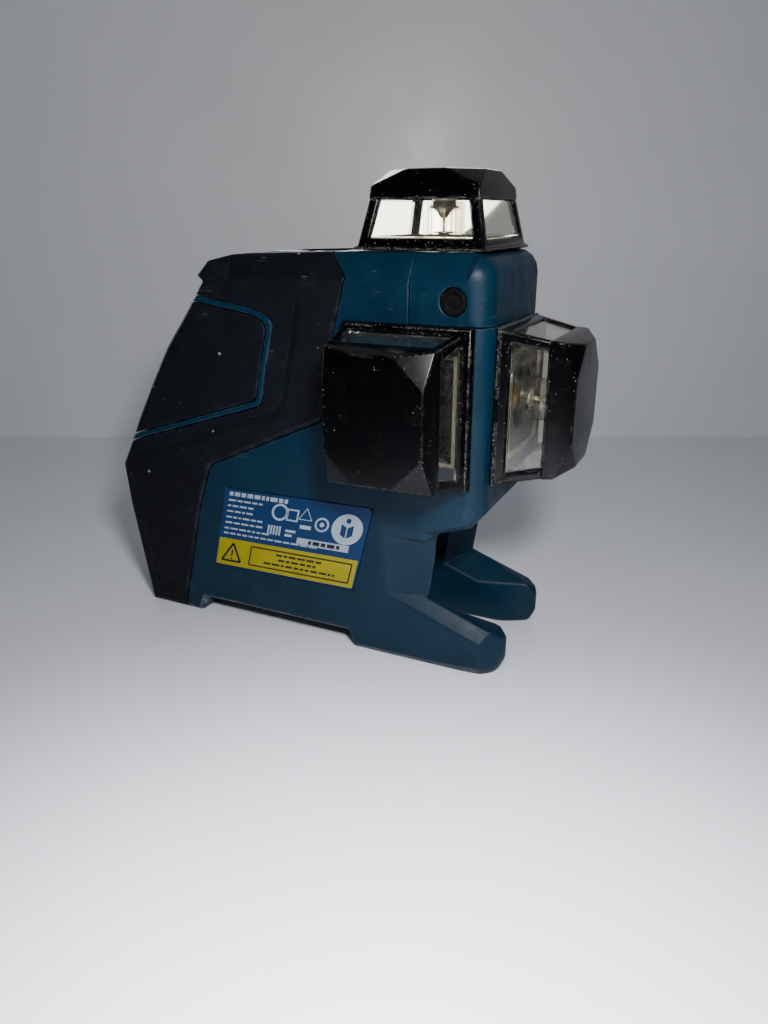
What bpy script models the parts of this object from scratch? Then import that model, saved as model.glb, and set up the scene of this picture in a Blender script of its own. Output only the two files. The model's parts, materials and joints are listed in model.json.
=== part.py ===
"""Self-levelling line laser with three optical heads, built as an assembly of separate pieces.

Lengths are in millimetres, and the building functions turn them into metres. The model is drawn
with x = 0 on the housing's front face, y = 0 on the plane where its two halves meet and z = 0
under its feet. An empty then carries it all, so that the origin is under the middle of the box.
"""
import math

import bmesh
import bpy
from mathutils import Matrix, Vector

MM = 0.001
GAP = 0.3                      # between neighbouring pieces
FINE = 1e-7                    # weld distance in metres

# Driving dimensions of the housing
FRONT_TO_CENTRE = 54.5         # front face to the middle of the overall length
HALVES_TO_CENTRE = 10.0        # joint plane of the halves to the middle of the overall width
HALF_WIDTH = 24.5
TOP_Z = 121.5
SHELL = 3.6                    # wall of the housing
SKIN = 1.6                     # soft overmould on the grip
LID_WALL = 2.4
REVEAL = 1.0                   # half the bare rib around the battery lid
UNDERSIDE_Z = 5.5
LEG_TIP_X = 7.2

# Edge rounding of the housing, by region
ROUND_TOP = 5.5
ROUND_REAR = 3.0
ROUND_LEDGE = 3.6
ROUND_BOTTOM = 2.6
ROUND_LIP = 1.6
TOP_BAND = ((8.0, 0.0), (6.6, 0.5), (0.8, 4.3), (0.0, 5.4))    # leaning band along the top

# Optical heads: height of each part above its base
HEAD_HEIGHT = 20.5
HEAD_WAIST = 13.4              # top of the window band
HEAD_SHOULDER = 16.2           # where the corner facets start
HEAD_TAPER = 2.8               # each side leans in this much up to the waist
HEAD_CROWN = 4.4               # the flat top is this much smaller on each side
HEAD_FACET = 8.6               # length that a corner facet takes off each top edge
HEAD_WALL = 2.0
WINDOW_LOW = 3.2
WINDOW_HIGH = 13.0
WINDOW_POST = 3.6
PANE = 1.2
BEAM_HOLE = 13.0               # radius of the hole in the housing under each head

# Self-levelling mechanism
PIVOT = Vector((-22.7, 0.0, 104.0))
LEVEL_Z = 81.2                 # height of the two horizontal beams
MODULE_R = 6.5
GLASS_R = 6.0
PIN_R = 1.2
PIN_HOLE = 1.45
SHOE_Z = 52.0

# Battery bay, measured along the sloped lid
SLOPE_POINT = Vector((-108.5, 0.0, 84.5))
SLOPE = Vector((-0.5625, 0.0, -0.8268)).normalized()
INWARD = Vector((0.8268, 0.0, -0.5625)).normalized()
CELL_R = 7.1
CELL_LENGTH = 49.6

# Controls and sockets
SWITCH_X = -60.0
SWITCH_Z = 48.0
SWITCH_TRAVEL = 8.0
LEVER_PIVOT_X = -48.0
LEVER_Z = 49.25
BUTTON_X = (-73.5, -61.5)
SOCKET_5_8_X = -76.0
SOCKET_1_4_X = -56.0
SOCKET_5_8_R = 7.94
SOCKET_1_4_R = 3.175
SCREWS = ((-96.0, 16.5), (-46.0, 16.5), (-55.0, 107.0))

SIDE_OUTLINE = [
    (0.0, 51.5), (0.0, TOP_Z), (-42.0, 121.3), (-60.0, 120.8), (-76.0, 120.2), (-82.0, 119.7),
    (-87.8, 118.0), (-92.1, 113.9), (-90.3, 112.2), (-99.6, 100.6), (-106.6, 91.6), (-114.0, 79.6),
    (-120.6, 68.2), (-125.0, 59.6), (-130.2, 50.2), (-128.9, 35.6), (-126.5, 20.9),
    (-123.0, 0.0), (-101.0, 0.0), (-98.5, UNDERSIDE_Z), (-15.0, UNDERSIDE_Z), (-15.0, 43.0),
    (-4.0, 46.6),
]
RECESS_PLAN = [
    (12.0, -42.0), (-45.0, -42.0), (-45.0, -28.6), (-14.6, -20.5), (-21.6, -12.0),
    (-21.6, 12.0), (-14.6, 20.5), (-45.0, 28.6), (-45.0, 42.0), (12.0, 42.0),
]
RECESS_TOP = 41.5
RECESS_LEAN = 0.14             # its walls lean forward by this share of their height
POCKET_X = -24.0               # middle of the round pocket between the legs
POCKET_R = 12.0
GRIP_OUTLINE = [
    (-48.3, 130.0), (-48.0, 120.9), (-42.2, 114.5), (-45.9, 99.7), (-50.6, 73.9),
    (-92.1, 55.0), (-97.5, 40.4), (-107.1, 3.1), (-107.9, -6.0), (-150.0, -6.0),
    (-150.0, 130.0),
]
LID_OUTLINE = [
    (-150.0, 107.4), (-92.2, 106.9), (-73.0, 104.1), (-66.7, 101.6), (-69.8, 88.9),
    (-72.2, 77.2), (-115.6, 63.4), (-125.0, 60.3), (-150.0, 51.5),
]
LABEL_OUTLINE = [(-86.4, 48.0), (-33.5, 49.0), (-40.6, 21.0), (-93.4, 20.0)]

# Finish of each sub-part: colour, metallic, roughness
TEAL = ((0.008, 0.052, 0.075), 0.0, 0.42)
GRIP = ((0.018, 0.020, 0.027), 0.0, 0.72)
BLACK = ((0.006, 0.006, 0.008), 0.0, 0.12)
PANEL = ((0.05, 0.055, 0.065), 0.0, 0.45)
GREY = ((0.18, 0.19, 0.20), 0.0, 0.5)
GLASS = ((0.75, 0.80, 0.78), 0.0, 0.05)
STEEL = ((0.56, 0.56, 0.55), 1.0, 0.3)
BRASS = ((0.62, 0.45, 0.20), 1.0, 0.3)
ALLOY = ((0.45, 0.46, 0.47), 1.0, 0.45)
COPPER = ((0.70, 0.33, 0.20), 1.0, 0.3)
BOARD = ((0.02, 0.14, 0.06), 0.0, 0.5)
LABEL = ((0.02, 0.16, 0.38), 0.0, 0.4)


def clear_scene():
    """Remove every object and collection that the file opened with."""
    for obj in list(bpy.data.objects):
        bpy.data.objects.remove(obj, do_unlink=True)
    for group in list(bpy.data.collections):
        bpy.data.collections.remove(group)


clear_scene()
PARTS = bpy.data.collections.new("line_laser_level")
bpy.context.scene.collection.children.link(PARTS)
ORIGIN = bpy.data.objects.new("level_origin", None)
ORIGIN.location = Vector((FRONT_TO_CENTRE, HALVES_TO_CENTRE, 0.0)) * MM
PARTS.objects.link(ORIGIN)


# ---------------------------------------------------------------- outlines
def inward(points):
    """For each corner of a closed outline, the move that shifts both its sides inwards by one."""
    turn = sum(a[0] * b[1] - b[0] * a[1] for a, b in zip(points, points[1:] + points[:1]))
    side = 1 if turn > 0 else -1
    moves = []
    for index, point in enumerate(points):
        here = Vector(point)
        before = (here - Vector(points[index - 1])).normalized()
        after = (Vector(points[(index + 1) % len(points)]) - here).normalized()
        normal_after = Vector((-after.y, after.x))
        mitre = (Vector((-before.y, before.x)) + normal_after).normalized()
        moves.append(mitre * (side / mitre.dot(normal_after)))
    return moves


def offset_outline(points, distance):
    """Move every side of a closed outline inwards by distance."""
    return [tuple(Vector(p) + move * distance) for p, move in zip(points, inward(points))]


def round_corners(points, radius, corners, steps=4):
    """Replace the named corners of an outline by arcs of the given radius."""
    rounded = []
    for index, point in enumerate(points):
        if index not in corners:
            rounded.append(point)
            continue
        here = Vector(point)
        back = (Vector(points[index - 1]) - here).normalized()
        ahead = (Vector(points[(index + 1) % len(points)]) - here).normalized()
        half = back.angle(ahead) / 2
        centre = here + (back + ahead).normalized() * (radius / math.sin(half))
        start = here + back * (radius / math.tan(half)) - centre
        end = here + ahead * (radius / math.tan(half)) - centre
        sweep = math.atan2(start.x * end.y - start.y * end.x, start.dot(end))
        for step in range(steps + 1):
            spoke = start.copy()
            spoke.rotate(Matrix.Rotation(sweep * step / steps, 2))
            rounded.append(tuple(centre + spoke))
    return rounded


# ---------------------------------------------------------------- solids
def add_object(name, mesh):
    obj = bpy.data.objects.new(name, mesh)
    PARTS.objects.link(obj)
    return obj


def from_bmesh(name, bm):
    """Make an object of a bmesh drawn in millimetres."""
    bmesh.ops.recalc_face_normals(bm, faces=bm.faces)
    bmesh.ops.scale(bm, vec=(MM, MM, MM), verts=bm.verts)
    mesh = bpy.data.meshes.new(name)
    bm.to_mesh(mesh)
    bm.free()
    return add_object(name, mesh)


def settle(obj):
    """Turn an object's modifiers into its mesh."""
    bpy.context.view_layer.update()
    evaluated = obj.evaluated_get(bpy.context.evaluated_depsgraph_get())
    mesh = bpy.data.meshes.new_from_object(evaluated)
    obj.modifiers.clear()
    obj.data = mesh
    return obj


def clean(obj):
    """Weld what a cut left closer than the weld distance, and drop faces without area."""
    bm = bmesh.new()
    bm.from_mesh(obj.data)
    bmesh.ops.remove_doubles(bm, verts=bm.verts, dist=20 * FINE)
    bmesh.ops.dissolve_degenerate(bm, edges=bm.edges, dist=20 * FINE)
    bm.to_mesh(obj.data)
    bm.free()
    return obj


def soften(obj, width, segments=1, angle=30.0):
    """Bevel the edges that turn more than the angle."""
    bevel = obj.modifiers.new("soften", "BEVEL")
    bevel.width = width * MM
    bevel.segments = segments
    bevel.limit_method = "ANGLE"
    bevel.angle_limit = math.radians(angle)
    return settle(obj)


def combine(target, operation, tools):
    """Join, cut or intersect a solid with others, which are used up."""
    for tool in tools:
        boolean = target.modifiers.new(operation.lower(), "BOOLEAN")
        boolean.operation = operation
        boolean.solver = "EXACT"
        boolean.object = tool
    settle(target)
    for tool in tools:
        bpy.data.objects.remove(tool, do_unlink=True)
    return clean(target)


def join(target, *tools):
    return combine(target, "UNION", tools)


def cut(target, *tools):
    return combine(target, "DIFFERENCE", tools)


def keep_inside(target, *tools):
    return combine(target, "INTERSECT", tools)


def copy_of(obj, name):
    return add_object(name, obj.data.copy())


def box(name, low, high, bevel=0.0):
    low = Vector(low)
    high = Vector(high)
    bm = bmesh.new()
    bmesh.ops.create_cube(bm, size=1.0)
    size = high - low
    bmesh.ops.scale(bm, vec=size, verts=bm.verts)
    bmesh.ops.translate(bm, vec=(low + high) / 2, verts=bm.verts)
    obj = from_bmesh(name, bm)
    return soften(obj, bevel) if bevel else obj


def rod(name, start, end, radius, end_radius=None, sides=24):
    """Round bar or cone between two points."""
    start = Vector(start)
    end = Vector(end)
    bm = bmesh.new()
    bmesh.ops.create_cone(bm, cap_ends=True, segments=sides, radius1=radius,
                          radius2=radius if end_radius is None else end_radius,
                          depth=(end - start).length)
    turn = Vector((0, 0, 1)).rotation_difference(end - start).to_matrix().to_4x4()
    bmesh.ops.transform(bm, matrix=Matrix.Translation((start + end) / 2) @ turn, verts=bm.verts)
    return from_bmesh(name, bm)


def tube(name, start, end, radius, bore, sides=24):
    start = Vector(start)
    end = Vector(end)
    over = (end - start).normalized()
    pipe = rod(name, start, end, radius, sides=sides)
    return cut(pipe, rod("bore", start - over, end + over, bore, sides=sides))


def hull(name, points):
    """Smallest convex solid around the points."""
    bm = bmesh.new()
    for point in points:
        bm.verts.new(point)
    bmesh.ops.convex_hull(bm, input=bm.verts)
    bmesh.ops.delete(bm, geom=[v for v in bm.verts if not v.link_faces], context="VERTS")
    bmesh.ops.dissolve_limit(bm, angle_limit=0.001, verts=bm.verts, edges=bm.edges)
    return from_bmesh(name, bm)


PLANES = {
    "XY": Matrix(((1, 0, 0), (0, 1, 0), (0, 0, 1))),
    "XZ": Matrix(((1, 0, 0), (0, 0, -1), (0, 1, 0))),
}


def plate(name, outline, plane, low, high):
    """Solid of a flat outline, drawn in a plane and reaching from low to high across it."""
    curve = bpy.data.curves.new(name, "CURVE")
    curve.dimensions = "2D"
    curve.fill_mode = "BOTH"
    curve.extrude = (high - low) / 2 * MM
    spline = curve.splines.new("POLY")
    spline.points.add(len(outline) - 1)
    for knot, point in zip(spline.points, outline):
        knot.co = (point[0] * MM, point[1] * MM, 0.0, 1.0)
    spline.use_cyclic_u = True
    flat = bpy.data.objects.new(name, curve)
    PARTS.objects.link(flat)
    bpy.context.view_layer.update()
    depsgraph = bpy.context.evaluated_depsgraph_get()
    mesh = bpy.data.meshes.new_from_object(flat.evaluated_get(depsgraph))
    bpy.data.objects.remove(flat, do_unlink=True)
    middle = (low + high) / 2 * MM
    lift = Vector((0, 0, middle)) if plane == "XY" else Vector((0, middle, 0))
    mesh.transform(Matrix.Translation(lift) @ PLANES[plane].to_4x4())
    bm = bmesh.new()
    bm.from_mesh(mesh)
    bmesh.ops.remove_doubles(bm, verts=bm.verts, dist=20 * FINE)
    bmesh.ops.dissolve_limit(bm, angle_limit=0.001, verts=bm.verts, edges=bm.edges)
    bmesh.ops.recalc_face_normals(bm, faces=bm.faces)
    bm.to_mesh(mesh)
    bm.free()
    return add_object(name, mesh)


def place(obj, matrix):
    """Carry a finished mesh by a matrix in millimetres."""
    matrix = matrix.copy()
    matrix.translation *= MM
    obj.data.transform(matrix)
    return obj


def finish(obj, finish_values, smooth_angle=35.0):
    """Give a sub-part its own material and smooth its round stretches."""
    colour, metallic, roughness = finish_values
    material = bpy.data.materials.new(obj.name)
    material.use_nodes = True
    shader = material.node_tree.nodes["Principled BSDF"]
    shader.inputs["Base Color"].default_value = (*colour, 1.0)
    shader.inputs["Metallic"].default_value = metallic
    shader.inputs["Roughness"].default_value = roughness
    obj.data.materials.clear()
    obj.data.materials.append(material)
    obj.data.shade_smooth()
    obj.data.set_sharp_from_angle(angle=math.radians(smooth_angle))
    obj.parent = ORIGIN
    return obj


# ---------------------------------------------------------------- housing
def edge_profile(x, z, inset):
    """Section of the housing's side edges at a point of the outline, from the side face outwards.

    Each entry is the distance in from the outline and the distance in from the side face.
    """
    if z > 118.0 and -84.0 < x < -6.0:
        scale = max(ROUND_TOP - inset, 0.5) / ROUND_TOP
        return [(move * scale, drop * scale) for move, drop in TOP_BAND]
    if x > -6.6 and z > 112.0 or x > -2.0:
        radius = ROUND_TOP
    elif z > 110.0:
        radius = ROUND_LIP
    elif z < 12.0:
        radius = ROUND_BOTTOM
    else:
        radius = ROUND_LEDGE if x > -18.0 else ROUND_REAR
    radius = max(radius - inset, 0.5)
    return [(radius * (1 - math.sin(turn)), radius * (1 - math.cos(turn)))
            for turn in (0.0, math.pi / 6, math.pi / 3, math.pi / 2)]


def rounded_slab(name, outline, profiles, half):
    """Upright slab of an outline whose two side edges follow a section at each corner."""
    moves = inward(outline)
    rings = []
    for side in (-1, 1):
        rows = [[(p[0] + m.x * profile[step][0], side * (half - profile[step][1]),
                  p[1] + m.y * profile[step][0])
                 for p, m, profile in zip(outline, moves, profiles)]
                for step in range(len(profiles[0]))]
        rings += rows if side == -1 else rows[::-1]
    bm = bmesh.new()
    loops = [[bm.verts.new(point) for point in ring] for ring in rings]
    bm.faces.new(loops[0])
    bm.faces.new(loops[-1])
    count = len(outline)
    for near, far in zip(loops, loops[1:]):
        for index in range(count):
            after = (index + 1) % count
            bm.faces.new((near[index], near[after], far[after], far[index]))
    return from_bmesh(name, bm)


def body_block(inset):
    """The housing's outer form without its legs, shrunk by inset on every side."""
    full = round_corners(SIDE_OUTLINE, ROUND_TOP + 1.0, (1,))
    outline = round_corners(offset_outline(SIDE_OUTLINE, inset), ROUND_TOP + 1.0 - inset * 0.8, (1,))
    profiles = [edge_profile(x, z, inset) for x, z in full]
    return rounded_slab("block", outline, profiles, HALF_WIDTH - inset)


def recess(grow):
    """Space under the front block and between the legs, with a round pocket at its back."""
    plan = offset_outline(RECESS_PLAN, -grow)
    space = plate("recess", plan, "XY", -2.0, RECESS_TOP + grow)
    lean = Matrix.Identity(4)
    lean[0][2] = RECESS_LEAN
    lean[0][3] = -RECESS_LEAN * 37.0 * MM
    space.data.transform(lean)
    return join(space, rod("pocket", (POCKET_X, 0, -2), (POCKET_X, 0, RECESS_TOP + grow), POCKET_R + grow))


def leg(side):
    """One front leg: its top slopes down to the tip and dips towards the gap between the legs."""
    def edge(x):
        return (x, 24.5, 20.5 - 0.3525 * (x + 26.2))

    def ridge(x):
        return (x, 21.0, 25.2 - 0.3525 * (x + 26.2))

    middle = [edge(-12.0), ridge(-12.0), (-12.0, 12.0, 13.8), (-12.0, 24.5, 2.4), (-12.0, 22.3, 0.0),
              (-12.0, 13.0, 0.0), (-12.0, 12.0, 1.5)]
    rear = [edge(-43.0), ridge(-43.0), (-43.0, 12.0, 24.7), (-43.0, 24.5, 8.0), (-43.0, 22.5, UNDERSIDE_Z),
            (-43.0, 12.0, UNDERSIDE_Z), (-40.5, 22.3, 0.0), (-40.5, 13.0, 0.0), (-40.5, 24.5, 2.2)]
    tip = [edge(0.6), ridge(3.4), (0.9, 24.5, 3.4), (4.6, 21.8, 4.4), (6.3, 19.6, 12.9), (6.7, 19.2, 4.8),
           (LEG_TIP_X, 17.6, 12.2), (LEG_TIP_X, 16.2, 11.8), (LEG_TIP_X, 17.6, 5.0),
           (LEG_TIP_X, 16.2, 5.0), (4.9, 15.2, 14.5), (-5.0, 12.0, 1.5), (-5.0, 13.0, 0.0),
           (-2.5, 22.3, 0.0), (-2.5, 13.6, 0.0), (1.6, 22.9, 1.2), (4.6, 20.4, 1.0),
           (5.6, 17.6, 1.2), (4.6, 15.4, 1.4)]
    foot, front = [hull("leg", [(x, side * y, z) for x, y, z in points])
                   for points in (middle + rear, middle + tip)]
    return soften(join(foot, front), 0.9, segments=2, angle=20.0)


def grip_zone(grow):
    outline = round_corners(offset_outline(GRIP_OUTLINE, -grow), 5.0, (5,))
    return plate("grip_zone", outline, "XZ", -40.0, 40.0)


def lid_zone(grow):
    outline = round_corners(offset_outline(LID_OUTLINE, -grow), 3.0, (3, 5))
    return plate("lid_zone", outline, "XZ", -40.0, 40.0)


def panel_space(grow):
    return box("panel_space", (-81.0 - grow, -13.0 - grow, 112.0), (-49.0 + grow, 13.0 + grow, 130.0))


def beam_holes():
    """Round holes in the housing for the three beams."""
    return (
        rod("beam", (-22.7, 0, 110), (-22.7, 0, 130), BEAM_HOLE),
        rod("beam", (-10, 0, LEVEL_Z), (8, 0, LEVEL_Z), BEAM_HOLE),
        rod("beam", (-22.7, -32, LEVEL_Z), (-22.7, -15, LEVEL_Z), BEAM_HOLE),
    )


def base_opening(grow):
    return box("base_opening", (-96.0 - grow, -16.0 - grow, -1.0), (-46.0 + grow, 16.0 + grow, 12.0))


def build_housing():
    whole = body_block(0.0)
    cut(whole, recess(0.0))
    join(whole, leg(1), leg(-1))
    hollow = body_block(SHELL)
    cut(hollow, recess(SHELL))
    skin_space = grip_zone(GAP)
    cut(skin_space, body_block(SKIN + GAP), lid_zone(REVEAL))
    outer = copy_of(whole, "outer")
    cut(whole, skin_space, lid_zone(GAP - REVEAL), hollow, panel_space(GAP), base_opening(GAP))
    cut(whole, *beam_holes())

    right = copy_of(whole, "housing_right")
    keep_inside(right, box("half", (-140, -40, -5), (20, -GAP / 2, 130)))
    cap = copy_of(right, "housing_cap")
    keep_inside(cap, box("corner", (-22.7 + GAP / 2, -40, 103.2 + GAP / 2), (20, 5, 130)))
    cut(right, box("corner", (-22.7 - GAP / 2, -40, 103.2 - GAP / 2), (20, 5, 130)))
    left = copy_of(whole, "housing_left")
    keep_inside(left, box("half", (-140, GAP / 2, -5), (20, 40, 130)))
    bpy.data.objects.remove(whole, do_unlink=True)
    return outer, right, cap, left


def add_screw_posts(right, left, grip_left):
    """Posts inside the halves, their holes, and the screws that draw the halves together."""
    for number, (x, z) in enumerate(SCREWS, start=1):
        join(left, rod("post", (x, GAP / 2, z), (x, 22.0, z), 3.4, sides=16))
        join(right, rod("post", (x, -GAP / 2, z), (x, -22.0, z), 3.4, sides=16))
        cut(left, rod("hole", (x, -2.0, z), (x, 30.0, z), 1.7, sides=16),
            rod("counterbore", (x, 20.0, z), (x, 30.0, z), 3.3, sides=16))
        cut(right, rod("hole", (x, 2.0, z), (x, -15.0, z), 1.5, sides=16))
        if number == 3:
            cut(grip_left, rod("hole", (x, 18.0, z), (x, 30.0, z), 3.3, sides=16))
        head = rod(f"housing_screw_{number}", (x, 20.3, z), (x, 22.6, z), 2.9, 2.6, sides=16)
        join(head, rod("shank", (x, -14.0, z), (x, 21.0, z), 1.2, sides=12))
        cut(head, rod("socket", (x, 21.6, z), (x, 24.0, z), 1.3, sides=6))
        finish(head, STEEL)


def build_grips(outer):
    grips = []
    for name, low, high in (("grip_right", -40.0, -GAP / 2), ("grip_left", GAP / 2, 40.0)):
        grip = copy_of(outer, name)
        keep_inside(grip, grip_zone(0.0), box("half", (-160, low, -5), (20, high, 130)))
        cut(grip, body_block(SKIN), lid_zone(REVEAL + GAP), panel_space(GAP))
        grips.append(grip)
    return grips


def build_lid(outer):
    """Battery lid that wraps over the rear slope and both sides, and its sprung latch."""
    lid = copy_of(outer, "battery_lid")
    keep_inside(lid, lid_zone(-REVEAL))
    cut(lid, body_block(LID_WALL))
    latch = copy_of(lid, "battery_latch")
    keep_inside(latch, box("tab", (-140, -8.0, 97.5), (-60, 8.0, 120.0)))
    cut(lid, box("notch", (-140, -8.0 - GAP, 95.0), (-60, 8.0 + GAP, 120.0)))
    high, low = (Vector((x, 0.0, z)) for x, z in SIDE_OUTLINE[8:10])
    for share in (0.66, 0.80, 0.94):
        spot = high.lerp(low, share)
        join(latch, rod("ridge", spot - Vector((0, 6.5, 0)), spot + Vector((0, 6.5, 0)), 0.8, sides=8))
    finish(lid, GRIP)
    finish(latch, GRIP)


def build_label(right):
    cut(right, plate("pocket", offset_outline(LABEL_OUTLINE, -GAP), "XZ", -30.0, -24.0))
    corners = round_corners(LABEL_OUTLINE, 1.0, range(4), steps=2)
    finish(plate("type_label", corners, "XZ", -24.6, -24.3), LABEL)


def build_side_plug(cap):
    x, z = -10.3, 109.5
    cut(cap, rod("hole", (x, -30, z), (x, -18, z), 3.8, sides=20))
    plug = rod("side_plug", (x, -24.2, z), (x, -20.9, z), 3.5, sides=20)
    cut(plug, rod("dish", (x, -30, z), (x, -23.5, z), 2.3, sides=20))
    finish(plug, BLACK)


# ---------------------------------------------------------------- heads
HEADS = {
    "top": {
        "half": (18.45, 18.95), "flange": (0.15, 1.1, 0.9),
        "at": Matrix.Translation((-22.6, 0.0, 121.5)),
    },
    "side": {
        "half": (18.45, 21.5), "flange": (-2.1, 0.6, 0.8),
        "at": Matrix.Translation((-22.8, -26.9, LEVEL_Z)) @ Matrix.Rotation(math.pi / 2, 4, "X"),
    },
    "front": {
        "half": (18.95, 21.5), "flange": (-0.4, 0.6, 0.5),
        "at": Matrix.Translation((0.7, 0.0, LEVEL_Z))
        @ Matrix.Rotation(math.pi / 2, 4, "Z") @ Matrix.Rotation(math.pi / 2, 4, "X"),
    },
}


def rectangle(half, height, inset=0.0):
    a = half[0] - inset
    b = half[1] - inset
    return [(a, b, height), (-a, b, height), (-a, -b, height), (a, -b, height)]


def octagon(half, height, inset, facet):
    a = half[0] - inset
    b = half[1] - inset
    return [(sx * p, sy * q, height) for sx in (1, -1) for sy in (1, -1)
            for p, q in ((a, b - facet), (a - facet, b))]


def window_block(half, side, outer_depth, inner_depth, margin):
    """Solid across one side of a head, as wide as its window less the margin."""
    axis = 0 if side in ("+u", "-u") else 1
    sign = 1 if side[0] == "+" else -1
    points = []
    for height, post in ((WINDOW_LOW + margin, WINDOW_POST), (WINDOW_HIGH - margin, WINDOW_POST + 2.0)):
        lean = HEAD_TAPER * height / HEAD_WAIST
        reach = half[1 - axis] - post - margin
        for depth in (outer_depth, inner_depth):
            for across in (reach, -reach):
                point = [0.0, 0.0, height]
                point[axis] = sign * (half[axis] - lean - depth)
                point[1 - axis] = across
                points.append(point)
    return hull("window", points)


def build_head(name, half, flange, at):
    low, high, spread = flange
    shell = soften(hull(f"head_frame_{name}", rectangle(half, 0.1)
                        + rectangle(half, HEAD_WAIST, HEAD_TAPER)), 0.5)
    cap = hull("cap", rectangle(half, HEAD_WAIST - 0.4, HEAD_TAPER - 0.25)
               + rectangle(half, HEAD_SHOULDER, HEAD_TAPER + 0.1)
               + octagon(half, HEAD_HEIGHT, HEAD_CROWN, HEAD_FACET))
    join(shell, soften(cap, 0.45, angle=15.0))
    wide = (half[0] + spread, half[1] + spread)
    join(shell, soften(hull("flange", rectangle(wide, low) + rectangle(wide, high, 0.3)), 0.4))
    inside = (half[0] - HEAD_WALL, half[1] - HEAD_WALL)
    cut(shell, hull("hollow", rectangle(inside, low - 1.0) + rectangle(inside, 1.0)
                    + rectangle(inside, HEAD_WAIST, HEAD_TAPER)
                    + rectangle(inside, HEAD_SHOULDER + 1.8, HEAD_TAPER + 2.6)))
    sides = ("+u", "-u", "+v", "-v")
    cut(shell, *[window_block(half, side, -3.0, 6.0, 0.0) for side in sides])
    finish(place(shell, at), BLACK)
    for number, side in enumerate(sides, start=1):
        pane = window_block(half, side, 0.6, 0.6 + PANE, GAP)
        pane.name = f"head_window_{name}_{number}"
        finish(place(pane, at), GLASS)


# ---------------------------------------------------------------- controls and sockets
def build_controls(left):
    panel = box("control_panel", (-81.0, -13.0, 116.4), (-49.0, 13.0, 119.4), bevel=0.5)
    for x in BUTTON_X:
        cut(panel, box("hole", (x - 5.3, -4.3, 112), (x + 5.3, 4.3, 125)))
    cut(panel, box("hole", (-54.4, -7.3, 112), (-51.6, 7.3, 125)))
    finish(panel, PANEL)
    for name, x in zip(("mode_button", "pulse_button"), BUTTON_X):
        button = box(name, (x - 5.0, -4.0, 115.0), (x + 5.0, 4.0, 120.2), bevel=0.6)
        join(button, box("flange", (x - 6.0, -5.0, 114.4), (x + 6.0, 5.0, 115.5)))
        finish(button, GREY)
    finish(box("status_lens", (-54.1, -7.0, 116.7), (-51.9, 7.0, 119.7), bevel=0.3), GLASS)

    x, z = SWITCH_X, SWITCH_Z
    cut(left, box("pocket", (x - 10, 23.7, z - 7), (x + SWITCH_TRAVEL + 10, 30, z + 7)),
        box("slot", (x - 3.4, 15, z - 2.8), (x + SWITCH_TRAVEL + 3.4, 30, z + 2.8)))
    slider = box("switch_slider", (x - 6.0, 24.0, z - 5.5), (x + 6.0, 27.4, z + 5.5), bevel=0.8)
    join(slider, box("stem", (x - 3.0, 20.0, z - 2.4), (x + 3.0, 25.0, z + 2.4)))
    join(slider, box("keeper", (x - 7.0, 19.3, z - 4.5), (x + 7.0, 20.6, z + 4.5)))
    for step in (-3, -1, 1, 3):
        cut(slider, box("groove", (x + step - 0.4, 26.8, z - 8), (x + step + 0.4, 30, z + 8)))
    finish(slider, GREY)


def build_lock_lever():
    """Lever that lifts a brake pad under the pendulum when the switch is off."""
    pivot = LEVER_PIVOT_X
    lever = box("lock_lever", (-58.0, -3.0, 48.0), (-19.5, 3.0, 50.5))
    join(lever, box("arm", (-58.0, -2.0, 48.0), (-54.0, 18.0, 50.5)))
    join(lever, rod("pad", (-22.7, 0, 49.0), (-22.7, 0, SHOE_Z - GAP), 3.0, sides=16))
    join(lever, rod("trunnion", (pivot, -6.6, LEVER_Z), (pivot, 6.6, LEVER_Z), PIN_R, sides=16))
    finish(lever, GREY)


def build_base():
    base = box("base_plate", (-96.0, -16.0, UNDERSIDE_Z), (-46.0, 16.0, UNDERSIDE_Z + 2.6), bevel=0.4)
    for name, x, bore, outer in (("tripod_bush_5_8", SOCKET_5_8_X, SOCKET_5_8_R, 10.6),
                                 ("tripod_bush_1_4", SOCKET_1_4_X, SOCKET_1_4_R, 5.6)):
        cut(base, rod("seat", (x, 0, 0), (x, 0, 12), outer + GAP, sides=32))
        bush = tube(name, (x, 0, UNDERSIDE_Z - 0.5), (x, 0, UNDERSIDE_Z + 8.5), outer, bore, sides=32)
        finish(bush, BRASS)
    finish(base, PANEL)


# ---------------------------------------------------------------- mechanism
def build_chassis():
    """Frame around the pendulum, open to the front, with lugs for the lock lever."""
    frame = box("chassis", (-42.0, -20.0, 58.0), (-7.0, 20.0, 108.0))
    cut(frame, box("inside", (-39.5, -17.5, 50.0), (0.0, 17.5, 112.0)))
    for side in (-1, 1):
        cut(frame, rod("port", (-22.7, side * 15, LEVEL_Z), (-22.7, side * 25, LEVEL_Z), 10.5))
        join(frame, box("lug", (-52.0, side * 6.0 - 1.2, 45.0), (-40.0, side * 6.0 + 1.2, 61.0)))
    cut(frame, box("lever_gap", (-43.0, -4.6, 50.0), (-38.0, 4.6, 60.5)),
        rod("pin_hole", (PIVOT.x, -25, PIVOT.z), (PIVOT.x, 25, PIVOT.z), PIN_HOLE, sides=16),
        rod("lever_hole", (LEVER_PIVOT_X, -9, LEVER_Z), (LEVER_PIVOT_X, 9, LEVER_Z), PIN_HOLE, sides=16))
    finish(frame, ALLOY)
    finish(box("damping_plate", (-39.2, -12.0, 60.5), (-38.2, 12.0, 72.0), bevel=0.2), COPPER)
    for name, side in (("gimbal_pin_right", -1), ("gimbal_pin_left", 1)):
        start = PIVOT + Vector((0, side * 12.0, 0))
        finish(rod(name, start, PIVOT + Vector((0, side * 19.8, 0)), PIN_R, sides=16), STEEL)


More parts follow.
